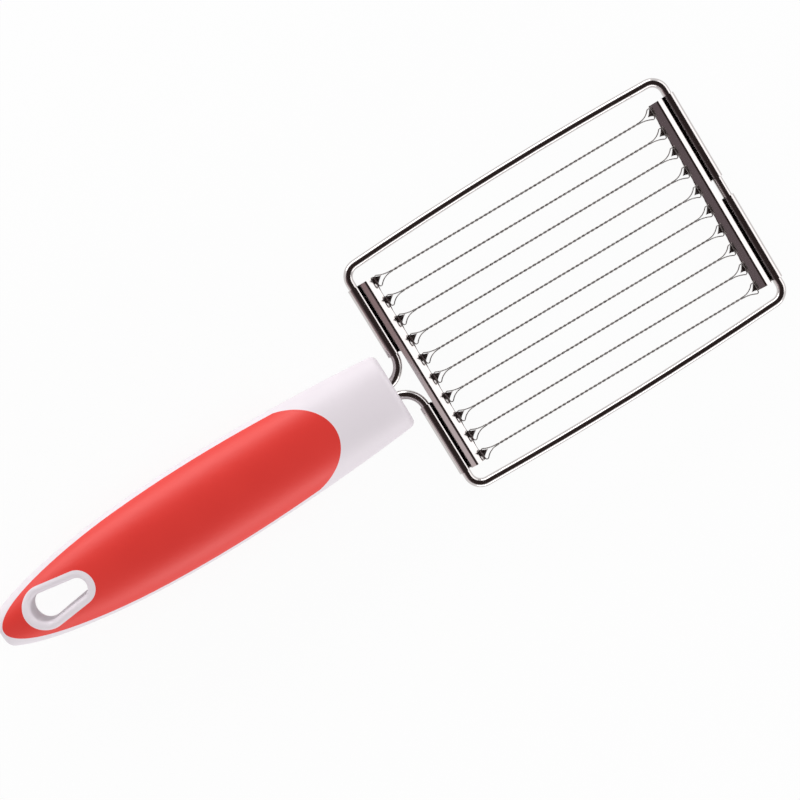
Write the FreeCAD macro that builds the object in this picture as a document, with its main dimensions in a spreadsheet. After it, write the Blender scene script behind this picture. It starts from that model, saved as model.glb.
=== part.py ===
# Hand-held egg slicer, in millimetres: a bent rod frame carries ten taut wires between two folded
# combs, and a moulded handle with soft inlays grips the rod's two tangs.
# X runs along the handle towards the far end of the frame, Y across the wires and Z up.
# The origin is under the middle of the part, on the surface that it lies on.
import FreeCAD, Part
import math
import os
import Sketcher
from FreeCAD import Placement, Rotation, Vector

doc = FreeCAD.newDocument("egg_slicer")
sheet = doc.addObject("Spreadsheet::Sheet", "dims")

driving = [
    ("rod_diameter", 3.0, "rod of the frame"),
    ("frame_length", 116.9, "axis of the rear rod to axis of the far rod"),
    ("frame_width", 83.25, "axis to axis of the side rods, at their middle"),
    ("side_bow", 1240, "radius of the side rods' slight outward bow"),
    ("corner_radius", 4.5, "frame corners, on the rod axis"),
    ("neck_radius", 7.35, "bends into the handle, on the rod axis"),
    ("tang_spacing", 4.1, "axis to axis of the two tangs"),
    ("tang_length", 55, "tang inside the handle"),
    ("bore_clearance", 0.05, "added to the radius of the tang bores"),
    ("sheet_thickness", 0.5, "comb strip"),
    ("curl_clearance", 0.03, "between the rod and a rolled tab"),
    ("curl_opening", 54, "degrees, free edge of a rolled tab above the frame plane"),
    ("floor_length", 1.5, "strip under the rod, from the rod axis to the first bend"),
    ("floor_bend", 0.5, "upper radius of the first bend"),
    ("riser_angle", 84, "degrees, steep part of the comb beside the rod"),
    ("riser_height", 0.93, "top of the steep part above the frame plane"),
    ("knee_bend", 0.7, "upper radius between the steep part and the outer wall"),
    ("rise_angle", 32, "degrees, outer wall of the comb"),
    ("crest_offset", 4.3, "crest from the rod axis"),
    ("crest_bend", 0.8, "upper radius of the crest"),
    ("fall_angle", 32, "degrees, inner wall of the comb"),
    ("valley_offset", 7.1, "root of the teeth from the rod axis"),
    ("valley_bend", 0.35, "upper radius at the root of the teeth"),
    ("tooth_angle", 50, "degrees, teeth above the frame plane"),
    ("tooth_reach", 2.5, "tooth tip from its root, seen from above"),
    ("tooth_height", 2.65, "sharp corner of the tooth outline from its root"),
    ("tooth_pitch", 7.17, "tooth to tooth"),
    ("tooth_count", 10, "teeth on each comb, and wires"),
    ("tooth_step", 0.9, "steep side of a tooth, along the comb"),
    ("tooth_shoulder", 2.2, "hook part of the long side, along the comb"),
    ("shoulder_height", 0.3, "long side of a tooth at the end of the hook"),
    ("tooth_tail", 4.4, "long side of a tooth, along the comb"),
    ("hook_radius", 8.0, "hollow of the long side"),
    ("step_radius", 6.0, "hollow of the steep side"),
    ("flange_length", 68.2, "comb strip, end to end"),
    ("flange_start", 2.5, "outer edge of the strip between the tabs, from the rod axis"),
    ("rear_tab_gap", 19.0, "between the tabs of the rear comb"),
    ("front_tab_gap", 6.8, "between the tabs of the front comb"),
    ("strand_diameter", 0.38, "one strand of a twisted pair"),
    ("wire_height", 1.8, "wires above the frame plane"),
    ("eye_back", 0.42, "straight back of an eye from the root of its tooth"),
    ("eye_wide", 2.4, "wire to the strand axis of an eye, on the long side of its tooth"),
    ("eye_narrow", 1.3, "wire to the strand axis of an eye, on the steep side of its tooth"),
    ("eye_corner", 0.6, "corners of an eye, on the strand axis"),
    ("eye_neck", 5.2, "back of an eye to where the strands part"),
    ("rear_eye_shift", 0.5, "wire from a rear tooth tip, across"),
    ("front_eye_shift", 0.25, "wire from a front tooth tip, across"),
    ("handle_gap", 5.5, "axis of the rear rod to the front of the handle"),
    ("handle_length", 146.4, "handle, end to end"),
    ("handle_width", 32.4, "widest section"),
    ("handle_thickness", 24.3, "widest section"),
    ("front_width", 25.6, "front section"),
    ("front_thickness", 14.5, "front section"),
    ("tail_width", 10.0, "last section, before its edge is rounded"),
    ("widest_at", 68, "widest section from the front"),
    ("nose_round", 2.2, "edge of the front face"),
    ("tail_round", 2.9, "edge of the tail"),
    ("panel_depth", 1.8, "soft inlay"),
    ("band_height", 4.4, "half of the white band along the sides"),
    ("tongue_start", 22.4, "front of a soft inlay from the front of the handle"),
    ("tongue_length", 20, "rounded front of a soft inlay, along the handle"),
    ("tongue_width", 29.6, "rounded front of a soft inlay, across"),
    ("slot_centre", 117.1, "front arc of the hanging slot from the front of the handle"),
    ("slot_front_radius", 3.2, "narrow end of the hanging slot"),
    ("slot_back_radius", 4.8, "wide end of the hanging slot"),
    ("slot_spacing", 12.0, "centre to centre of the slot's ends"),
    ("rim_width", 2.6, "white rim round the hanging slot"),
    ("mouth_round", 1.4, "rounded mouth of the hanging slot"),
]
for row, (alias, value, meaning) in enumerate(driving, start=1):
    sheet.set(f"A{row}", meaning)
    sheet.set(f"B{row}", str(value))
    sheet.setAlias(f"B{row}", alias)
doc.recompute()


def ex(text):
    # An expression over the sheet: every driving dimension is named there by its alias alone.
    names = sorted((alias for alias, value, meaning in driving), key=len, reverse=True)
    for name in names:
        text = text.replace("{" + name + "}", "dims." + name)
    return text


def number(text):
    value = sheet.evalExpression(ex(text))
    return float(getattr(value, "Value", value))


# The frame plane's place in the part: its height, and the rear rod's axis along X.
plane_z = "{handle_thickness} / 2"
front_end = "({frame_length} + {rod_diameter} / 2 + {curl_clearance} + {sheet_thickness})"
rear_x = "({handle_gap} + {handle_length} - " + front_end + ") / 2"
handle_front_x = rear_x + " - {handle_gap}"


def place(item, x="0", y="0", z="0"):
    for axis, text in (("x", x), ("y", y), ("z", z)):
        item.setExpression(f"Placement.Base.{axis}", ex(text))


def origin_item(body, role):
    return next(item for item in body.Origin.OriginFeatures if item.Role == role)


def sketch_on(body, role, name):
    sketch = body.newObject("Sketcher::SketchObject", name)
    sketch.AttachmentSupport = (origin_item(body, role), [""])
    sketch.MapMode = "FlatFace"
    return sketch


def bind(sketch, kind, references, text):
    # A dimension on a sketch, held to the sheet. Angles are written in degrees.
    value = number(text)
    if kind == "Angle":
        value = math.radians(value)
        text = "(" + text + ") * 1 deg"
    index = sketch.addConstraint(Sketcher.Constraint(kind, *references, value))
    sketch.setExpression(f"Constraints[{index}]", ex(text))


def pin(sketch, curve, point, x, y):
    # A sketch point at x, y from the sketch's origin.
    bind(sketch, "DistanceX", (-1, 1, curve, point), x)
    bind(sketch, "DistanceY", (-1, 1, curve, point), y)


def tangent_chain(sketch, joins):
    for first, first_end, second, second_end in joins:
        sketch.addConstraint(Sketcher.Constraint("Tangent", first, first_end, second, second_end))


def arc_of(centre, radius, start, end):
    circle = Part.Circle(centre, Vector(0, 0, 1), radius)
    return Part.ArcOfCircle(circle, math.radians(start), math.radians(end))


def rod_path(sketch):
    # Half of the frame: from the middle of the far side, round two corners, to the end of a tang.
    length = number("{frame_length}")
    side = number("{frame_width} / 2")
    bow = number("{side_bow}")
    corner = number("{corner_radius}")
    neck = number("{neck_radius}")
    tang = number("{tang_spacing} / 2")
    tang_end = -number("{handle_gap} + {tang_length}")
    bow_centre = Vector(length / 2, side - bow, 0)
    lean = math.degrees(math.asin((length / 2 - corner) / (bow - corner)))
    corner_y = bow_centre.y + (bow - corner) * math.cos(math.radians(lean))
    far = sketch.addGeometry(Part.LineSegment(Vector(length, 0, 0), Vector(length, corner_y, 0)))
    far_corner = sketch.addGeometry(arc_of(Vector(length - corner, corner_y, 0), corner, 0, 90 - lean))
    flank = sketch.addGeometry(arc_of(bow_centre, bow, 90 - lean, 90 + lean))
    rear_corner = sketch.addGeometry(arc_of(Vector(corner, corner_y, 0), corner, 90 + lean, 180))
    rear = sketch.addGeometry(Part.LineSegment(Vector(0, corner_y, 0), Vector(0, tang + neck, 0)))
    bend = sketch.addGeometry(arc_of(Vector(-neck, tang + neck, 0), neck, 270, 360))
    straight = sketch.addGeometry(Part.LineSegment(Vector(-neck, tang, 0), Vector(tang_end, tang, 0)))
    tangent_chain(sketch, [
        (far, 2, far_corner, 1),
        (far_corner, 2, flank, 1),
        (flank, 2, rear_corner, 1),
        (rear_corner, 2, rear, 1),
        (rear, 2, bend, 2),
        (bend, 1, straight, 1),
    ])
    for line in (far, rear):
        sketch.addConstraint(Sketcher.Constraint("Vertical", line))
    pin(sketch, far, 1, "{frame_length}", "0")
    bind(sketch, "Radius", (flank,), "{side_bow}")
    pin(sketch, flank, 3, "{frame_length} / 2", "{frame_width} / 2 - {side_bow}")
    sketch.addConstraint(Sketcher.Constraint("PointOnObject", rear, 1, -2))
    bind(sketch, "Radius", (far_corner,), "{corner_radius}")
    bind(sketch, "Radius", (rear_corner,), "{corner_radius}")
    bind(sketch, "Radius", (bend,), "{neck_radius}")
    pin(sketch, straight, 2, "-({handle_gap} + {tang_length})", "{tang_spacing} / 2")


def rod_body(name, radius):
    # The whole rod: half of it swept along its path, then mirrored across the handle's axis.
    body = doc.addObject("PartDesign::Body", name)
    path = sketch_on(body, "XY_Plane", name + "_path")
    rod_path(path)
    section = sketch_on(body, "XZ_Plane", name + "_section")
    start = Vector(number("{frame_length}"), 0, 0)
    ring = section.addGeometry(Part.Circle(start, Vector(0, 0, 1), number(radius)))
    pin(section, ring, 3, "{frame_length}", "0")
    bind(section, "Radius", (ring,), radius)
    doc.recompute()
    half = body.newObject("PartDesign::AdditivePipe", name + "_half")
    half.Profile = section
    half.Spine = path
    doc.recompute()
    whole = body.newObject("PartDesign::Mirrored", name + "_whole")
    whole.Originals = [half]
    whole.MirrorPlane = (origin_item(body, "XZ_Plane"), [""])
    body.Tip = whole
    place(body, rear_x, "0", plane_z)
    return body


def fold_line(sketch):
    # Upper face of the comb strip, from the free edge of the rolled tab to the tooth tips.
    curl = number("{rod_diameter} / 2 + {curl_clearance}")
    opening = number("{curl_opening}")
    steep = number("{riser_angle}")
    rise = number("{rise_angle}")
    fall = number("{fall_angle}")
    tooth = number("{tooth_angle}")
    floor_bend = number("{floor_bend}")
    knee_bend = number("{knee_bend}")
    crest_bend = number("{crest_bend}")
    valley_bend = number("{valley_bend}")

    def on_arc(centre, radius, angle):
        turn = math.radians(angle)
        return centre + Vector(radius * math.cos(turn), radius * math.sin(turn), 0)

    floor_centre = Vector(number("{floor_length}"), floor_bend - curl, 0)
    riser_start = on_arc(floor_centre, floor_bend, 270 + steep)
    riser_rise = number("{riser_height}") - riser_start.y
    riser_end = riser_start + Vector(riser_rise / math.tan(math.radians(steep)), riser_rise, 0)
    knee_centre = on_arc(riser_end, knee_bend, steep - 90)
    wall_start = on_arc(knee_centre, knee_bend, 90 + rise)
    crest_x = number("{crest_offset}")
    wall_run = crest_x - crest_bend * math.sin(math.radians(rise)) - wall_start.x
    wall_end = wall_start + Vector(wall_run, wall_run * math.tan(math.radians(rise)), 0)
    crest_centre = Vector(crest_x, wall_end.y - crest_bend * math.cos(math.radians(rise)), 0)
    slope_start = on_arc(crest_centre, crest_bend, 90 - fall)
    valley_x = number("{valley_offset}")
    slope_run = valley_x - valley_bend * math.sin(math.radians(fall)) - slope_start.x
    slope_end = slope_start - Vector(-slope_run, slope_run * math.tan(math.radians(fall)), 0)
    valley_centre = Vector(valley_x, slope_end.y + valley_bend * math.cos(math.radians(fall)), 0)
    tooth_start = on_arc(valley_centre, valley_bend, 270 + tooth)
    tooth_run = number("{valley_offset} + {tooth_reach}") - tooth_start.x
    tooth_end = tooth_start + Vector(tooth_run, tooth_run * math.tan(math.radians(tooth)), 0)

    roll = sketch.addGeometry(arc_of(Vector(), curl, opening, 270))
    floor = sketch.addGeometry(Part.LineSegment(Vector(0, -curl, 0), Vector(floor_centre.x, -curl, 0)))
    foot = sketch.addGeometry(arc_of(floor_centre, floor_bend, 270, 270 + steep))
    riser = sketch.addGeometry(Part.LineSegment(riser_start, riser_end))
    knee = sketch.addGeometry(arc_of(knee_centre, knee_bend, 90 + rise, 90 + steep))
    wall = sketch.addGeometry(Part.LineSegment(wall_start, wall_end))
    crest = sketch.addGeometry(arc_of(crest_centre, crest_bend, 90 - fall, 90 + rise))
    slope = sketch.addGeometry(Part.LineSegment(slope_start, slope_end))
    valley = sketch.addGeometry(arc_of(valley_centre, valley_bend, 270 - fall, 270 + tooth))
    teeth = sketch.addGeometry(Part.LineSegment(tooth_start, tooth_end))
    tangent_chain(sketch, [
        (roll, 2, floor, 1),
        (floor, 2, foot, 1),
        (foot, 2, riser, 1),
        (riser, 2, knee, 2),
        (knee, 1, wall, 1),
        (wall, 2, crest, 2),
        (crest, 1, slope, 1),
        (slope, 2, valley, 1),
        (valley, 2, teeth, 1),
    ])
    sketch.addConstraint(Sketcher.Constraint("Coincident", roll, 3, -1, 1))
    sketch.addConstraint(Sketcher.Constraint("Horizontal", floor))
    bind(sketch, "Radius", (roll,), "{rod_diameter} / 2 + {curl_clearance}")
    bind(sketch, "DistanceY", (-1, 1, roll, 1),
         "({rod_diameter} / 2 + {curl_clearance}) * sin({curl_opening} * 1 deg)")
    bind(sketch, "DistanceX", (-1, 1, floor, 2), "{floor_length}")
    bind(sketch, "Radius", (foot,), "{floor_bend}")
    bind(sketch, "Radius", (knee,), "{knee_bend}")
    bind(sketch, "Radius", (crest,), "{crest_bend}")
    bind(sketch, "Radius", (valley,), "{valley_bend}")
    bind(sketch, "Angle", (riser,), "{riser_angle}")
    bind(sketch, "Angle", (wall,), "{rise_angle}")
    bind(sketch, "Angle", (slope,), "-{fall_angle}")
    bind(sketch, "Angle", (teeth,), "{tooth_angle}")
    bind(sketch, "DistanceY", (-1, 1, riser, 2), "{riser_height}")
    bind(sketch, "DistanceX", (-1, 1, crest, 3), "{crest_offset}")
    bind(sketch, "DistanceX", (-1, 1, valley, 3), "{valley_offset}")
    bind(sketch, "DistanceX", (-1, 1, teeth, 2), "{valley_offset} + {tooth_reach}")


# The first gap lies past the end of the strip, so that the first tooth gets its steep side too.
first_tip = "({flange_length} / 2 - {tooth_step})"
gap_tip = "(" + first_tip + " + {tooth_pitch})"


def tooth_gap(sketch):
    # The hollow between two tooth tips: the long side of one tooth and the steep side of the next.
    root = "{valley_offset}"
    tip = "({valley_offset} + {tooth_height})"
    outside = "({valley_offset} + 2 * {tooth_height})"
    corners = [
        (tip, gap_tip),
        ("({valley_offset} + {shoulder_height})", "(" + gap_tip + " - {tooth_shoulder})"),
        (root, "(" + gap_tip + " - {tooth_tail})"),
        (root, "(" + gap_tip + " - {tooth_pitch} + {tooth_step})"),
        (tip, "(" + gap_tip + " - {tooth_pitch})"),
        (outside, "(" + gap_tip + " - {tooth_pitch})"),
        (outside, gap_tip),
    ]
    points = [Vector(number(x), number(y), 0) for x, y in corners]

    def hollow(start, end, radius):
        # An arc from start to end that bulges towards the root of the teeth.
        middle = (start + end) / 2
        half = (end - start).Length / 2
        across = Vector(0, 0, 1).cross(end - start).normalize()
        if across.x > 0:
            across = across * -1
        return Part.Arc(start, middle + across * (radius - math.sqrt(radius**2 - half**2)), end)

    long_side = sketch.addGeometry(hollow(points[0], points[1], number("{hook_radius}")))
    tail = sketch.addGeometry(Part.LineSegment(points[1], points[2]))
    land = sketch.addGeometry(Part.LineSegment(points[2], points[3]))
    steep_side = sketch.addGeometry(hollow(points[3], points[4], number("{step_radius}")))
    edge = sketch.addGeometry(Part.LineSegment(points[4], points[5]))
    back = sketch.addGeometry(Part.LineSegment(points[5], points[6]))
    close = sketch.addGeometry(Part.LineSegment(points[6], points[0]))
    for curve, index in ((tail, 1), (land, 2), (edge, 4), (back, 5), (close, 6)):
        pin(sketch, curve, 1, *corners[index])
    pin(sketch, close, 2, *corners[0])
    pin(sketch, land, 2, *corners[3])
    for curve, first, last in ((long_side, close, tail), (steep_side, land, edge)):
        start_point = sketch.getPoint(curve, 1)
        first_end = sketch.getPoint(first, 2)
        ends = (1, 2) if (start_point - first_end).Length < 1e-6 else (2, 1)
        sketch.addConstraint(Sketcher.Constraint("Coincident", curve, ends[0], first, 2))
        sketch.addConstraint(Sketcher.Constraint("Coincident", curve, ends[1], last, 1))
    sketch.addConstraint(Sketcher.Constraint("Coincident", tail, 2, land, 1))
    sketch.addConstraint(Sketcher.Constraint("Coincident", edge, 2, back, 1))
    sketch.addConstraint(Sketcher.Constraint("Coincident", back, 2, close, 1))
    bind(sketch, "Radius", (long_side,), "{hook_radius}")
    bind(sketch, "Radius", (steep_side,), "{step_radius}")


def cut_through(body, sketch, name):
    pocket = body.newObject("PartDesign::Pocket", name)
    pocket.Profile = sketch
    pocket.Type = "ThroughAll"
    pocket.SideType = "Symmetric"
    doc.recompute()
    return pocket


def comb(name, tab_gap):
    # A strip folded to a ridge, with its outer edge rolled round the rod and its inner edge toothed.
    fold = doc.addObject("Sketcher::SketchObject", name + "_fold")
    fold.Placement = Placement(Vector(), Rotation(Vector(1, 0, 0), 90))
    fold_line(fold)
    doc.recompute()
    strip = doc.addObject("Part::Offset2D", name + "_strip")
    strip.Source = fold
    strip.Mode = "Skin"
    strip.Join = "Tangent"
    strip.Fill = True
    strip.setExpression("Value", ex("-{sheet_thickness}"))
    bar = doc.addObject("Part::Extrusion", name + "_bar")
    bar.Base = strip
    bar.DirMode = "Custom"
    bar.Dir = Vector(0, 1, 0)
    bar.setExpression("LengthFwd", ex("{flange_length}"))
    bar.Symmetric = True
    bar.Solid = True
    doc.recompute()
    body = doc.addObject("PartDesign::Body", name)
    body.BaseFeature = bar
    doc.recompute()
    tab_sketch = sketch_on(body, "XY_Plane", name + "_tab_gap")
    low = Vector(-number("2 * {rod_diameter}"), -number(tab_gap + " / 2"), 0)
    high = Vector(number("{flange_start}"), number(tab_gap + " / 2"), 0)
    box = [low, Vector(high.x, low.y, 0), high, Vector(low.x, high.y, 0)]
    sides = [
        tab_sketch.addGeometry(Part.LineSegment(box[index], box[(index + 1) % 4]))
        for index in range(4)
    ]
    for index, side in enumerate(sides):
        following = sides[(index + 1) % 4]
        tab_sketch.addConstraint(Sketcher.Constraint("Coincident", side, 2, following, 1))
        direction = "Horizontal" if index % 2 == 0 else "Vertical"
        tab_sketch.addConstraint(Sketcher.Constraint(direction, side))
    pin(tab_sketch, sides[0], 1, "-2 * {rod_diameter}", "-" + tab_gap + " / 2")
    pin(tab_sketch, sides[2], 1, "{flange_start}", tab_gap + " / 2")
    cut_through(body, tab_sketch, name + "_tabs")
    gap_sketch = sketch_on(body, "XY_Plane", name + "_tooth_gap")
    tooth_gap(gap_sketch)
    gap = cut_through(body, gap_sketch, name + "_gap")
    teeth = body.newObject("PartDesign::LinearPattern", name + "_teeth")
    teeth.Originals = [gap]
    teeth.Direction = (origin_item(body, "Y_Axis"), [""])
    teeth.Reversed = True
    teeth.setExpression("Length", ex("{tooth_pitch} * {tooth_count}"))
    teeth.setExpression("Occurrences", ex("{tooth_count} + 1"))
    body.Tip = teeth
    return body


def eye_half(body, name, half_span, width, side):
    # Half of the eye at the far end of a wire, on its left (side 1) or its right (side -1):
    # half of the straight back, a corner, and a leg to where the strands part.
    flat_text = "(" + width + " - {eye_corner})"
    back_x = number(half_span)
    part_at = number(half_span + " - {eye_neck}")
    flat = number(flat_text)
    radius = number("{eye_corner}")
    aside = number("{strand_diameter} / 2")
    reach = math.hypot(back_x - radius - part_at, flat - aside)
    leave = math.atan2(aside - flat, part_at - back_x + radius) % (2 * math.pi) - math.acos(radius / reach)
    centre = Vector(back_x - radius, side * flat, 0)
    touch = centre + Vector(radius * math.cos(leave), side * radius * math.sin(leave), 0)
    path = sketch_on(body, "XY_Plane", name + "_path")
    back = path.addGeometry(Part.LineSegment(Vector(back_x, 0, 0), Vector(back_x, side * flat, 0)))
    corner = path.addGeometry(arc_of(centre, radius, *sorted((0, side * math.degrees(leave)))))
    leg = path.addGeometry(Part.LineSegment(touch, Vector(part_at, side * aside, 0)))
    at_back, at_leg = (1, 2) if side > 0 else (2, 1)
    tangent_chain(path, [(back, 2, corner, at_back), (corner, at_leg, leg, 1)])
    path.addConstraint(Sketcher.Constraint("Vertical", back))
    pin(path, back, 1, half_span, "0")
    bind(path, "DistanceY", (-1, 1, back, 2), f"{side} * " + flat_text)
    bind(path, "Radius", (corner,), "{eye_corner}")
    pin(path, leg, 2, half_span + " - {eye_neck}", f"{side} * {{strand_diameter}} / 2")
    strand = sketch_on(body, "XZ_Plane", name + "_strand")
    dot = strand.addGeometry(Part.Circle(Vector(back_x, 0, 0), Vector(0, 0, 1), aside))
    pin(strand, dot, 3, half_span, "0")
    bind(strand, "Radius", (dot,), "{strand_diameter} / 2")
    doc.recompute()
    half = body.newObject("PartDesign::AdditivePipe", name + "_eye")
    half.Profile = strand
    half.Spine = path
    doc.recompute()
    return half


def cutting_wire(index):
    # A taut twisted pair, drawn as one round core, whose strands part at each end into an eye.
    name = f"cutting_wire_{index + 1:02d}"
    tip = first_tip + f" - {index} * {{tooth_pitch}}"
    rear_y = "(" + tip + " - {rear_eye_shift})"
    front_y = f"(-{first_tip} + ({{tooth_count}} - 1 - {index}) * {{tooth_pitch}} - {{front_eye_shift}})"
    span = "({frame_length} - 2 * ({valley_offset} + {eye_back}))"
    lean = "(" + front_y + " - " + rear_y + ")"
    half_span = "(sqrt(" + span + "^2 + " + lean + "^2) / 2)"

    body = doc.addObject("PartDesign::Body", name)
    core = sketch_on(body, "YZ_Plane", name + "_section")
    ring = core.addGeometry(Part.Circle(Vector(), Vector(0, 0, 1), number("{strand_diameter}")))
    core.addConstraint(Sketcher.Constraint("Coincident", ring, 3, -1, 1))
    bind(core, "Radius", (ring,), "{strand_diameter}")
    twist = body.newObject("PartDesign::Pad", name + "_twist")
    twist.Profile = core
    twist.SideType = "Symmetric"
    twist.setExpression("Length", ex("2 * " + half_span + " - 2 * {eye_neck} + 2 * {eye_corner}"))
    doc.recompute()

    halves = [eye_half(body, name + "_wide", half_span, "{eye_wide}", 1),
              eye_half(body, name + "_narrow", half_span, "{eye_narrow}", -1)]
    eyes = body.newObject("PartDesign::PolarPattern", name + "_eyes")
    eyes.Originals = halves
    eyes.Axis = (origin_item(body, "Z_Axis"), [""])
    eyes.Occurrences = 2
    body.Tip = eyes
    place(body, rear_x + " + {frame_length} / 2", "(" + rear_y + " + " + front_y + ") / 2",
          plane_z + " + {wire_height}")
    body.setExpression("Placement.Rotation.Angle", ex("atan(" + lean + " / " + span + ")"))
    return body


def handle_stations():
    # Distance from the front, width and thickness of each oval section: parabolas from the flatter front
    # to the widest section, then ellipses to the tail.
    stations = []
    for share in (0, 1 / 3, 2 / 3):
        grown = f"(1 - (1 - {share:.6f})^2)"
        width = "({front_width} + ({handle_width} - {front_width}) * " + grown + ")"
        thickness = "({front_thickness} + ({handle_thickness} - {front_thickness}) * " + grown + ")"
        stations.append((f"({share:.6f} * {{widest_at}})", width, thickness))
    for share in (0, 0.25, 0.5, 0.72, 0.88, 1):
        turn = f"({share:.6f} * acos({{tail_width}} / {{handle_width}}))"
        along = "sin(" + turn + ") / sin(acos({tail_width} / {handle_width}))"
        distance = "({widest_at} + ({handle_length} - {widest_at}) * " + along + ")"
        width = "({handle_width} * cos(" + turn + "))"
        thickness = "({handle_thickness} * cos(" + turn + "))"
        stations.append((distance, width, thickness))
    return stations


def handle_loft(name, inset):
    sections = []
    for index, (distance, width, thickness) in enumerate(handle_stations()):
        oval = doc.addObject("Part::Ellipse", f"{name}_section_{index}")
        oval.setExpression("MajorRadius", ex(width + " / 2 - " + inset))
        oval.setExpression("MinorRadius", ex(thickness + " / 2 - " + inset))
        oval.Placement = Placement(Vector(), Rotation(Vector(1, 1, 1), 120))
        place(oval, handle_front_x + " - " + distance, "0", plane_z)
        sections.append(oval)
    doc.recompute()
    loft = doc.addObject("Part::Loft", name)
    loft.Sections = sections
    loft.Solid = True
    doc.recompute()
    return loft


def end_edge(shape, furthest):
    # The edge round one end of the handle.
    edges = [
        (furthest * edge.BoundBox.Center.x, f"Edge{index}")
        for index, edge in enumerate(shape.Edges, start=1)
        if edge.BoundBox.XLength < 0.01
    ]
    return max(edges)[1]


def handle_form():
    body = doc.addObject("PartDesign::Body", "handle_form")
    body.BaseFeature = handle_loft("handle_loft", "0")
    doc.recompute()
    for name, side, radius in (("nose", 1, "{nose_round}"), ("tail", -1, "{tail_round}")):
        base = body.Tip
        rounded = body.newObject("PartDesign::Fillet", name)
        rounded.Base = (base, [end_edge(base.Shape, side)])
        rounded.setExpression("Radius", ex(radius))
        doc.recompute()
    return body


def slot_outline(name, grow):
    # A hanging slot that widens towards the tail: two arcs and their common tangents.
    sketch = doc.addObject("Sketcher::SketchObject", name)
    narrow = number("{slot_front_radius} + " + grow)
    wide = number("{slot_back_radius} + " + grow)
    spacing = number("{slot_spacing}")
    lean = math.degrees(math.asin((wide - narrow) / spacing))
    near = sketch.addGeometry(arc_of(Vector(), narrow, -(90 - lean), 90 - lean))
    far = sketch.addGeometry(arc_of(Vector(-spacing, 0, 0), wide, 90 - lean, 270 + lean))
    ends = [sketch.getPoint(curve, end) for curve, end in ((near, 2), (far, 1), (far, 2), (near, 1))]
    upper = sketch.addGeometry(Part.LineSegment(ends[0], ends[1]))
    lower = sketch.addGeometry(Part.LineSegment(ends[2], ends[3]))
    tangent_chain(sketch, [(near, 2, upper, 1), (upper, 2, far, 1), (far, 2, lower, 1), (lower, 2, near, 1)])
    sketch.addConstraint(Sketcher.Constraint("Coincident", near, 3, -1, 1))
    sketch.addConstraint(Sketcher.Constraint("PointOnObject", far, 3, -1))
    bind(sketch, "DistanceX", (far, 3, -1, 1), "{slot_spacing}")
    bind(sketch, "Radius", (near,), "{slot_front_radius} + " + grow)
    bind(sketch, "Radius", (far,), "{slot_back_radius} + " + grow)
    place(sketch, handle_front_x + " - {slot_centre}", "0", plane_z)
    doc.recompute()
    return sketch


def upright(name, base, length, both_ways):
    prism = doc.addObject("Part::Extrusion", name)
    prism.Base = base
    prism.DirMode = "Custom"
    prism.Dir = Vector(0, 0, 1)
    prism.setExpression("LengthFwd", ex(length))
    prism.Symmetric = both_ways
    prism.Solid = True
    doc.recompute()
    return prism


def boolean(kind, name, base, tool):
    item = doc.addObject(kind, name)
    item.Base = base
    item.Tool = tool
    doc.recompute()
    return item


def grip_panel(name, side, form, inner, rim):
    # A soft inlay: the skin of the handle past the white band, with a rounded front, round the rim.
    level = plane_z + f" + {side} * {{band_height}}"
    depth = "{handle_thickness}"
    oval = doc.addObject("Part::Ellipse", name + "_tongue")
    oval.setExpression("MajorRadius", ex("{tongue_length}"))
    oval.setExpression("MinorRadius", ex("{tongue_width} / 2"))
    tongue_x = handle_front_x + " - {tongue_start} - {tongue_length}"
    place(oval, tongue_x, "0", level)
    doc.recompute()
    front = upright(name + "_front", oval, f"{side} * " + depth, False)
    rest = doc.addObject("Part::Box", name + "_rest")
    rest.setExpression("Length", ex("{handle_length}"))
    rest.setExpression("Width", ex("2 * {handle_width}"))
    rest.setExpression("Height", ex(depth))
    low = level if side > 0 else level + " - " + depth
    place(rest, tongue_x + " - {handle_length}", "-{handle_width}", low)
    doc.recompute()
    mask = boolean("Part::Fuse", name + "_mask", front, rest)
    skin = boolean("Part::Common", name + "_skin", form, mask)
    shell = boolean("Part::Cut", name + "_shell", skin, inner)
    return boolean("Part::Cut", name, shell, rim)


def mouth_edges(shape):
    # The edges round both mouths of the hanging slot, named for a fillet.
    front = number(handle_front_x + " - {slot_centre} + {slot_front_radius}")
    back = number(handle_front_x + " - {slot_centre} - {slot_spacing} - {slot_back_radius}")
    side = number("{slot_back_radius}")
    slot_box = FreeCAD.BoundBox(back, -side, 0, front, side, number("{handle_thickness}"))
    slot_box.enlarge(0.2)
    return [
        f"Edge{index}"
        for index, edge in enumerate(shape.Edges, start=1)
        if slot_box.isInside(edge.BoundBox) and edge.Curve.TypeId != "Part::GeomLine"
    ]


def handle(rod_bore):
    form = handle_form()
    inner = handle_loft("handle_inner", "{panel_depth}")
    rim = upright("rim_prism", slot_outline("rim_outline", "{rim_width}"), "2 * {handle_thickness}", True)
    slot = upright("slot_prism", slot_outline("slot_outline", "0"), "2 * {handle_thickness}", True)
    top = grip_panel("grip_panel_top", 1, form, inner, rim)
    bottom = grip_panel("grip_panel_bottom", -1, form, inner, rim)
    without_top = boolean("Part::Cut", "handle_without_top", form, top)
    without_panels = boolean("Part::Cut", "handle_without_panels", without_top, bottom)
    slotted = boolean("Part::Cut", "handle_slotted", without_panels, slot)
    bored = boolean("Part::Cut", "handle_bored", slotted, rod_bore)
    core = doc.addObject("PartDesign::Body", "handle_core")
    core.BaseFeature = bored
    doc.recompute()
    mouth = core.newObject("PartDesign::Fillet", "slot_mouth")
    mouth.Base = (core.Group[0], mouth_edges(core.Group[0].Shape))
    mouth.setExpression("Radius", ex("{mouth_round}"))
    return [core, top, bottom]


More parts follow.
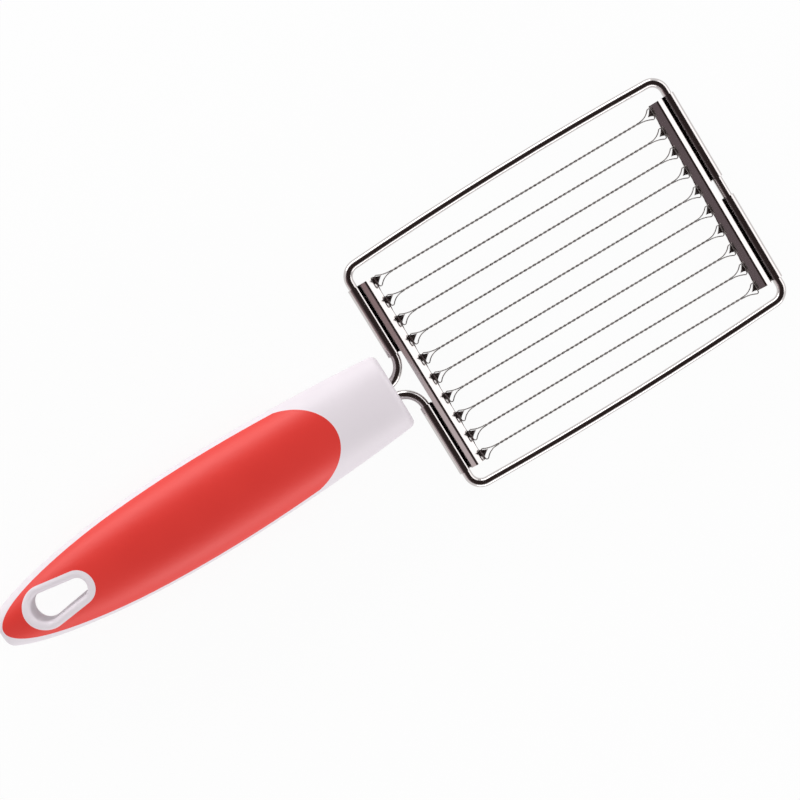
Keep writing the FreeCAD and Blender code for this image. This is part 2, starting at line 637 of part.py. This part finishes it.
frame_rod = rod_body("frame_rod", "{rod_diameter} / 2")
rear_comb = comb("rear_comb", "{rear_tab_gap}")
place(rear_comb, rear_x, "0", plane_z)
front_comb = comb("front_comb", "{front_tab_gap}")
front_comb.Placement = Placement(Vector(), Rotation(Vector(0, 0, 1), 180))
place(front_comb, rear_x + " + {frame_length}", "0", plane_z)
wires = [cutting_wire(index) for index in range(int(number("{tooth_count}")))]
rod_bore = rod_body("tang_bores", "{rod_diameter} / 2 + {bore_clearance}")
handle_pieces = handle(rod_bore)
sub_parts = [frame_rod, rear_comb, front_comb] + wires + handle_pieces
doc.recompute()

for item in doc.Objects:
    if "Invalid" in item.State or "Error" in item.State:
        raise RuntimeError(f"{item.Name} failed: {item.State}")
for item in sub_parts:
    if item.Shape.isNull() or not item.Shape.isValid():
        raise RuntimeError(f"{item.Label} has no valid shape")

os.makedirs("parts", exist_ok=True)
for item in sub_parts:
    item.Shape.exportStep(f"parts/{item.Label}.step")
    box = item.Shape.BoundBox
    print(f"{item.Label}: {len(item.Shape.Solids)} solid, {item.Shape.Volume:.1f} mm3,",
          f"x {box.XMin:.2f} to {box.XMax:.2f}, y {box.YMin:.2f} to {box.YMax:.2f},",
          f"z {box.ZMin:.2f} to {box.ZMax:.2f}")
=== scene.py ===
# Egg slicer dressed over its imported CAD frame, in metres: X along the handle, Y across the wires, Z up.
from math import asin, pi, radians
import bmesh
import bpy
from mathutils import Matrix, Vector


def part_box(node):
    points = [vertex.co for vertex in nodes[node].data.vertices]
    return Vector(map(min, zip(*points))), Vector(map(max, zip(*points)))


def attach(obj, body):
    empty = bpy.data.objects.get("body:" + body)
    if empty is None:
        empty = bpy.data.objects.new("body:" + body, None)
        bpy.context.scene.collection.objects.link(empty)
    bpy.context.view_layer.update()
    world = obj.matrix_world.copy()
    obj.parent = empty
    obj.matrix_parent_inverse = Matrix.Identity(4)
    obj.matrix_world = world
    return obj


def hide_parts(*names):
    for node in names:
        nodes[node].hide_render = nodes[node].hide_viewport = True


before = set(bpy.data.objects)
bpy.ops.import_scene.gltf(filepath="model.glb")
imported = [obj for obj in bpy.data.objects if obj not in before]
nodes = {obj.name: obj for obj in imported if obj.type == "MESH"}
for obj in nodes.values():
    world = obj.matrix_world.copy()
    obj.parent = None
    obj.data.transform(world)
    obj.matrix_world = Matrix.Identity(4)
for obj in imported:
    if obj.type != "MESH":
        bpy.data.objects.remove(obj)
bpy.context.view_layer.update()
scene = bpy.context.scene
mm = 0.001
print("frame loaded:", len(nodes), "CAD nodes")


def linear(hexText):
    # sRGB hex to the linear colour that sockets take
    channels = [int(hexText[i:i + 2], 16) / 255 for i in (1, 3, 5)]
    return [c / 12.92 if c <= 0.04045 else ((c + 0.055) / 1.055) ** 2.4 for c in channels] + [1]


def addNode(tree, kind, values=None, links=None, **settings):
    # one node: settings by name, socket values by name, links as socket: (node, output)
    node = tree.nodes.new(kind)
    for name, value in settings.items():
        setattr(node, name, value)
    for socket, value in (values or {}).items():
        node.inputs[socket].default_value = value
    for socket, (source, output) in (links or {}).items():
        tree.links.new(source.outputs[output], node.inputs[socket])
    return node


def newMaterial(name):
    material = bpy.data.materials.new(name)
    material.use_nodes = True
    material.node_tree.nodes.clear()
    return material, material.node_tree


# Polished stainless rod and strip: a hard mirror with faint drawing lines, so reflections stay crisp
steelLook = {
    "tint": "#c9c4c3",
    "roughness": 0.13,
    "roughSpread": (0.7, 1.4),  # times the roughness, from line to line
    "lineWidth": 0.25,          # mm; really about 0.02, drawn wider to show
    "lineLength": 14.0,         # mm
    "lineDepth": 0.004,         # mm
    "lineBump": 0.12,
}
# Drawn stainless wire: duller than the rod, and tinted darker as painted shade for the grooves between its
# twisted strands, so that it reads grey on a white ground
wireLook = dict(steelLook, tint="#8d8886", roughness=0.2)


def polishedStainless(name, along, look):
    # the drawing or rolling lines run along one axis
    material, tree = newMaterial(name)
    place = addNode(tree, "ShaderNodeTexCoord")
    fine = 1 / (look["lineWidth"] * mm)
    coarse = 1 / (look["lineLength"] * mm)
    stretch = addNode(tree, "ShaderNodeMapping",
                      {"Scale": [coarse if axis == along else fine for axis in "XYZ"]},
                      {"Vector": (place, "Object")})
    lines = addNode(tree, "ShaderNodeTexNoise", {"Scale": 1, "Detail": 3}, {"Vector": (stretch, "Vector")})
    least, most = look["roughSpread"]
    rough = addNode(tree, "ShaderNodeMapRange",
                    {"To Min": look["roughness"] * least, "To Max": look["roughness"] * most},
                    {"Value": (lines, "Fac")})
    bump = addNode(tree, "ShaderNodeBump",
                   {"Strength": look["lineBump"], "Distance": look["lineDepth"] * mm},
                   {"Height": (lines, "Fac")})
    steel = addNode(tree, "ShaderNodeBsdfPrincipled", {"Base Color": linear(look["tint"]), "Metallic": 1},
                    {"Roughness": (rough, "Result"), "Normal": (bump, "Normal")})
    addNode(tree, "ShaderNodeOutputMaterial", None, {"Surface": (steel, "BSDF")})
    return material


# Satin white ABS, moulded in a spark-eroded tool: a soft broad highlight over a very fine grain
absLook = {"tint": "#e5dde3", "shade": "#e0d8de", "roughness": 0.48, "gloss": 0.4, "sheen": 0,
           "grain": 0.45, "grainDepth": 0.010}
# Soft-touch red TPR, moulded satin: a broad dim highlight and a faint pale bloom at grazing angles
tprLook = {"tint": "#e32212", "shade": "#dc1e0f", "roughness": 0.46, "gloss": 0.65, "sheen": 0.05,
           "grain": 0.40, "grainDepth": 0.008}
# What both mouldings share
mouldedLook = {
    "cloud": 18,                # mm, the width of the clouds of shade
    "roughSpread": (0.9, 1.1),  # times the roughness, from cloud to cloud
    "grainBump": 0.35,
    "sheenRoughness": 0.4,
}


def mouldedPlastic(name, look):
    # the tool's grain is near 0.05 mm wide, drawn coarser to show
    material, tree = newMaterial(name)
    place = addNode(tree, "ShaderNodeTexCoord")
    grain = addNode(tree, "ShaderNodeTexNoise", {"Scale": 1 / (look["grain"] * mm), "Detail": 2},
                    {"Vector": (place, "Object")})
    cloud = addNode(tree, "ShaderNodeTexNoise", {"Scale": 1 / (mouldedLook["cloud"] * mm), "Detail": 1},
                    {"Vector": (place, "Object")})
    bump = addNode(tree, "ShaderNodeBump",
                   {"Strength": mouldedLook["grainBump"], "Distance": look["grainDepth"] * mm},
                   {"Height": (grain, "Fac")})
    least, most = mouldedLook["roughSpread"]
    rough = addNode(tree, "ShaderNodeMapRange",
                    {"To Min": look["roughness"] * least, "To Max": look["roughness"] * most},
                    {"Value": (cloud, "Fac")})
    ramp = addNode(tree, "ShaderNodeValToRGB", None, {"Fac": (cloud, "Fac")})
    ramp.color_ramp.elements[0].color = linear(look["shade"])
    ramp.color_ramp.elements[1].color = linear(look["tint"])
    plastic = addNode(tree, "ShaderNodeBsdfPrincipled",
                      {"Specular IOR Level": look["gloss"], "Sheen Weight": look["sheen"],
                       "Sheen Roughness": mouldedLook["sheenRoughness"]},
                      {"Base Color": (ramp, "Color"), "Roughness": (rough, "Result"),
                       "Normal": (bump, "Normal")})
    addNode(tree, "ShaderNodeOutputMaterial", None, {"Surface": (plastic, "BSDF")})
    return material


rodSteel = polishedStainless("polished stainless rod", "X", steelLook)
combSteel = polishedStainless("polished stainless strip", "Y", steelLook)
wireSteel = polishedStainless("drawn stainless wire", "X", wireLook)
whiteAbs = mouldedPlastic("satin white moulded ABS", absLook)
redTpr = mouldedPlastic("soft-touch red TPR", tprLook)
finishes = {"frame_rod": rodSteel, "rear_comb": combSteel, "front_comb": combSteel,
            "handle_core": whiteAbs, "grip_panel_top": redTpr, "grip_panel_bottom": redTpr}
for name, finish in finishes.items():
    nodes[name].data.materials.clear()
    nodes[name].data.materials.append(finish)
print("finishes set on", len(finishes), "CAD nodes")

sweep = Vector((1, 0.37, 0.0731))   # an odd direction, along which two places are unlikely to tie


def finishPiece(name, bm, material, node):
    # a built bmesh becomes a piece in place of its CAD node
    bmesh.ops.recalc_face_normals(bm, faces=bm.faces)
    # spin makes its faces in an order that changes from run to run, so they are put in order of place
    bm.verts.sort(key=lambda vert: vert.co.dot(sweep))
    bm.edges.sort(key=lambda edge: (edge.verts[0].co + edge.verts[1].co).dot(sweep))
    bm.faces.sort(key=lambda face: face.calc_center_median().dot(sweep))
    mesh = bpy.data.meshes.new(name)
    bm.to_mesh(mesh)
    bm.free()
    mesh.shade_smooth()
    mesh.materials.append(material)
    piece = bpy.data.objects.new(name, mesh)
    scene.collection.objects.link(piece)
    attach(piece, "root")
    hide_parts(node)


# Twisted wires: one strand doubled, its two halves laid round each other, open to an eye at each end
twist = {
    "count": 10,
    "strand": 0.38 * mm,     # strand diameter
    "turns": 27.5,           # whole wire; the half turn swaps the halves' sides
    "ringsPerTurn": 14,
    "sides": 8,
    "wide": 2.4 * mm,        # wire to the eye's outer side, where the tooth is long
    "narrow": 1.3 * mm,      # and where the tooth is steep
    "corner": 0.6 * mm,      # eye corners, on the strand's axis
    "neck": 5.2 * mm,        # back of the eye to where the halves part
    "legRings": 8,
    "cornerRings": 14,
}


def strandRing(bm, centre, direction):
    # a ring of the strand, square to the way it runs, with a flat towards the other half
    turn = (direction.to_track_quat("Z", "X").to_matrix().to_4x4()
            @ Matrix.Rotation(pi / twist["sides"], 4, "Z"))
    ring = bmesh.ops.create_circle(bm, segments=twist["sides"], radius=twist["strand"] / 2,
                                   matrix=Matrix.Translation(centre) @ turn)["verts"]
    return ring, list(dict.fromkeys(edge for vert in ring for edge in vert.link_edges))


def loopEdges(geom):
    # edges of a spin's last ring
    return [item for item in geom if isinstance(item, bmesh.types.BMEdge)]


def halfEye(bm, way, side, part, half):
    # from where the halves part: a leg that flares out, then a corner round to the straight back;
    # way is 1 at the front end and -1 at the rear, side is 1 or -1 across the wire
    aside = twist["strand"] / 2
    flat = twist["wide" if way * side > 0 else "narrow"] - twist["corner"]
    out = flat - aside
    along = twist["neck"] - twist["corner"]
    flare = (along ** 2 + out ** 2 - twist["corner"] ** 2) / (2 * (twist["corner"] + out))
    turn = asin(along / (flare + twist["corner"]))
    ring, edges = strandRing(bm, Vector((way * part, side * aside, 0)), Vector((way, 0, 0)))
    leg = bmesh.ops.spin(bm, geom=ring + edges,
                         cent=(way * part, side * (aside + flare), 0), axis=(0, 0, 1),
                         angle=way * side * turn, steps=twist["legRings"])
    back = bmesh.ops.spin(bm, geom=leg["geom_last"],
                          cent=(way * (half - twist["corner"]), side * flat, 0), axis=(0, 0, 1),
                          angle=-way * side * (turn + pi / 2), steps=twist["cornerRings"])
    return edges, loopEdges(back["geom_last"])


def twistedWire(rear, front):
    # built along X about its middle, then laid between the backs of its two eyes
    bm = bmesh.new()
    half = (front - rear).length / 2
    part = half - twist["neck"]
    aside = twist["strand"] / 2
    laid = part - twist["strand"]       # the halves run straight for one strand before they part
    steps = round(twist["turns"] * twist["ringsPerTurn"])
    angle = 2 * pi * twist["turns"]
    tilt = aside * angle / (2 * laid)
    ends = {-1: [], 1: []}
    for side in (1, -1):
        ring, edges = strandRing(bm, Vector((-laid, side * aside, 0)), Vector((1, 0, side * tilt)))
        swept = bmesh.ops.spin(bm, geom=ring + edges, cent=(0, 0, 0), axis=(1, 0, 0),
                               dvec=(2 * laid / steps, 0, 0), angle=angle, steps=steps)
        ends[-1].append(edges)
        ends[1].append(loopEdges(swept["geom_last"]))
    for way, strands in ends.items():
        backs = []
        for side in (1, -1):
            start, back = halfEye(bm, way, side, part, half)
            strand = next(edges for edges in strands
                          if sum(edge.verts[0].co.y for edge in edges) * side > 0)
            bmesh.ops.bridge_loops(bm, edges=start + strand)
            backs += back
        bmesh.ops.bridge_loops(bm, edges=backs)
    lay = (front - rear).to_track_quat("X", "Z").to_matrix().to_4x4()
    bmesh.ops.transform(bm, matrix=Matrix.Translation((rear + front) / 2) @ lay, verts=bm.verts)
    return bm


# from the sides of a CAD wire's box to the strand's axis at the back of an eye, and to the wire's own line
eyeDepth = twist["strand"] / 2
eyeSide = twist["narrow"] + twist["strand"] / 2
for index in range(1, twist["count"] + 1):
    node = f"cutting_wire_{index:02d}"
    low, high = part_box(node)
    level = (low.z + high.z) / 2
    rear = Vector((low.x + eyeDepth, high.y - eyeSide, level))
    front = Vector((high.x - eyeDepth, low.y + eyeSide, level))
    finishPiece(f"twisted_wire_{index:02d}", twistedWire(rear, front), wireSteel, node)
print("twisted wires laid:", twist["count"])

# Studio: a white floor and world
studio = {
    "ambient": 0.71,       # the world's light on the object; seen directly it is white
    "paper": "#f2f2f2",
    "floorHalf": 4,
    "floorGlow": 0.92,     # share of plain white near the object, the rest takes light and shadow
    "glowFrom": 0.25,      # from here the share grows, to all of it at glowTo
    "glowTo": 0.8,
}
plainWhite = linear("#ffffff")


def seenDirectly(tree):
    # 1 for camera, glossy and transmission rays, which see plain white
    path = addNode(tree, "ShaderNodeLightPath")
    either = addNode(tree, "ShaderNodeMath", None,
                     {0: (path, "Is Camera Ray"), 1: (path, "Is Glossy Ray")}, operation="MAXIMUM")
    return addNode(tree, "ShaderNodeMath", None,
                   {0: (either, "Value"), 1: (path, "Is Transmission Ray")}, operation="MAXIMUM")


world = bpy.data.worlds.new("white studio")
scene.world = world
world.use_nodes = True
tree = world.node_tree
tree.nodes.clear()
seen = seenDirectly(tree)
strength = addNode(tree, "ShaderNodeMapRange", {"To Min": studio["ambient"], "To Max": 1},
                   {"Value": (seen, "Value")})
backdrop = addNode(tree, "ShaderNodeBackground", {"Color": plainWhite}, {"Strength": (strength, "Result")})
addNode(tree, "ShaderNodeOutputWorld", None, {"Surface": (backdrop, "Background")})

# the floor keeps the shadow near the object and is plain white further off, where the lamps' light ends
paper, tree = newMaterial("white paper sweep")
seen = seenDirectly(tree)
place = addNode(tree, "ShaderNodeTexCoord")
away = addNode(tree, "ShaderNodeVectorMath", None, {0: (place, "Object")}, operation="LENGTH")
whiten = addNode(tree, "ShaderNodeMapRange",
                 {"From Min": studio["glowFrom"], "From Max": studio["glowTo"],
                  "To Min": studio["floorGlow"], "To Max": 1}, {"Value": (away, "Value")})
glow = addNode(tree, "ShaderNodeMath", None, {0: (seen, "Value"), 1: (whiten, "Result")},
               operation="MULTIPLY")
matte = addNode(tree, "ShaderNodeBsdfDiffuse", {"Color": linear(studio["paper"])})
white = addNode(tree, "ShaderNodeEmission", {"Color": plainWhite, "Strength": 1})
mixed = addNode(tree, "ShaderNodeMixShader", None,
                {0: (glow, "Value"), 1: (matte, "BSDF"), 2: (white, "Emission")})
addNode(tree, "ShaderNodeOutputMaterial", None, {"Surface": (mixed, "Shader")})


def card(name, corners, material):
    # a flat sheet of the studio, not of the object
    bm = bmesh.new()
    bmesh.ops.contextual_create(bm, geom=[bm.verts.new(corner) for corner in corners])
    mesh = bpy.data.meshes.new(name)
    bm.to_mesh(mesh)
    bm.free()
    mesh.materials.append(material)
    item = bpy.data.objects.new(name, mesh)
    scene.collection.objects.link(item)
    return item


def levelCard(name, x, y, height, material):
    # a level sheet between two x and two y values
    corners = [(x[0], y[0], height), (x[1], y[0], height), (x[1], y[1], height), (x[0], y[1], height)]
    return card(name, corners, material)


def shiningSheet(name, colour, strength):
    material, tree = newMaterial(name)
    shine = addNode(tree, "ShaderNodeEmission", {"Color": colour, "Strength": strength})
    addNode(tree, "ShaderNodeOutputMaterial", None, {"Surface": (shine, "Emission")})
    return material


reach = (-studio["floorHalf"], studio["floorHalf"])
levelCard("floor", reach, reach, 0, paper)

# A dark canopy overhead that only reflections see: near black over the frame, paler past the handle's end
canopy = {"x": (-2.6, 0.62), "y": (-0.55, 0.55), "height": 0.5,
          "shades": [(-2.6, "#c4aaa8"), (-0.95, "#a89092"), (-0.55, "#72666a"), (-0.42, "#6c6266"),
                     (-0.28, "#3a302f"), (0.62, "#2a2221")]}
back, front = canopy["x"]
cloth, tree = newMaterial("dark canopy cloth")
place = addNode(tree, "ShaderNodeTexCoord")
along = addNode(tree, "ShaderNodeSeparateXYZ", None, {"Vector": (place, "Object")})
share = addNode(tree, "ShaderNodeMapRange", {"From Min": back, "From Max": front}, {"Value": (along, "X")})
ramp = addNode(tree, "ShaderNodeValToRGB", None, {"Fac": (share, "Result")})
stops = ramp.color_ramp.elements
stops[0].color = linear(canopy["shades"][0][1])
stops[1].color = linear(canopy["shades"][-1][1])
for x, shade in canopy["shades"][1:-1]:
    stops.new((x - back) / (front - back)).color = linear(shade)
shine = addNode(tree, "ShaderNodeEmission", {"Strength": 1}, {"Color": (ramp, "Color")})
addNode(tree, "ShaderNodeOutputMaterial", None, {"Surface": (shine, "Emission")})
overhead = levelCard("canopy", canopy["x"], canopy["y"], canopy["height"], cloth)

# A pale scrim under its back half, to one side, so that the rear strip's wall gets paler along its length
scrim = {"x": (-1.4, -0.7), "y": (-0.55, -0.075), "height": 0.48, "shade": "#e6dadc"}
gauze = shiningSheet("pale scrim gauze", linear(scrim["shade"]), 1)
veil = levelCard("scrim", scrim["x"], scrim["y"], scrim["height"], gauze)

# A bright card past the far end, for the white flashes on the folded strips
reflector = {"x": 1.0, "y": (-0.6, 0.6), "z": (0.1, 0.95), "strength": 1.8}
right, left = reflector["y"]
low, high = reflector["z"]
flash = shiningSheet("white reflector", plainWhite, reflector["strength"])
upright = card("reflector", [(reflector["x"], y, z) for y, z in
                             ((right, low), (left, low), (left, high), (right, high))], flash)
for item in (overhead, veil, upright):
    item.visible_camera = False
    item.visible_diffuse = False
    item.visible_shadow = False
    item.visible_transmission = False

# Low soft boxes along both sides and past the far end, each turned to the object
softBoxes = {
    "key": {"from": (0.0, 0.95, 0.29), "size": (1.4, 0.4), "watts": 6.3},
    "fill": {"from": (0.0, -0.95, 0.22), "size": (1.4, 0.25), "watts": 3.8},
    "end": {"from": (1.2, 0.0, 0.3), "size": (0.8, 0.3), "watts": 1.5},
}
for name, box in softBoxes.items():
    lamp = bpy.data.lights.new(name, "AREA")
    lamp.shape = "RECTANGLE"
    lamp.size, lamp.size_y = box["size"]
    lamp.energy = box["watts"]
    item = bpy.data.objects.new(name, lamp)
    item.location = box["from"]
    item.rotation_euler = Vector(box["from"]).to_track_quat("Z", "Y").to_euler()
    scene.collection.objects.link(item)
print("studio lit")

# The camera hangs almost straight above, rolled so that the handle runs from lower left to upper right
shot = {"aim": (10.57 * mm, -3.71 * mm, 12.15 * mm), "tilt": 4.77, "lean": 0.62, "roll": 31.73,
        "distance": 600.2 * mm, "lens": 85.05, "sensor": 36}
lens = bpy.data.cameras.new("camera")
lens.lens = shot["lens"]
lens.sensor_width = shot["sensor"]
camera = bpy.data.objects.new("camera", lens)
camera.matrix_world = (Matrix.Translation(shot["aim"]) @ Matrix.Rotation(-radians(shot["tilt"]), 4, "X")
                       @ Matrix.Rotation(-radians(shot["lean"]), 4, "Y")
                       @ Matrix.Rotation(-radians(shot["roll"]), 4, "Z")
                       @ Matrix.Translation((0, 0, shot["distance"])))
scene.collection.objects.link(camera)
scene.camera = camera
scene.view_settings.view_transform = "Standard"
print("camera set")
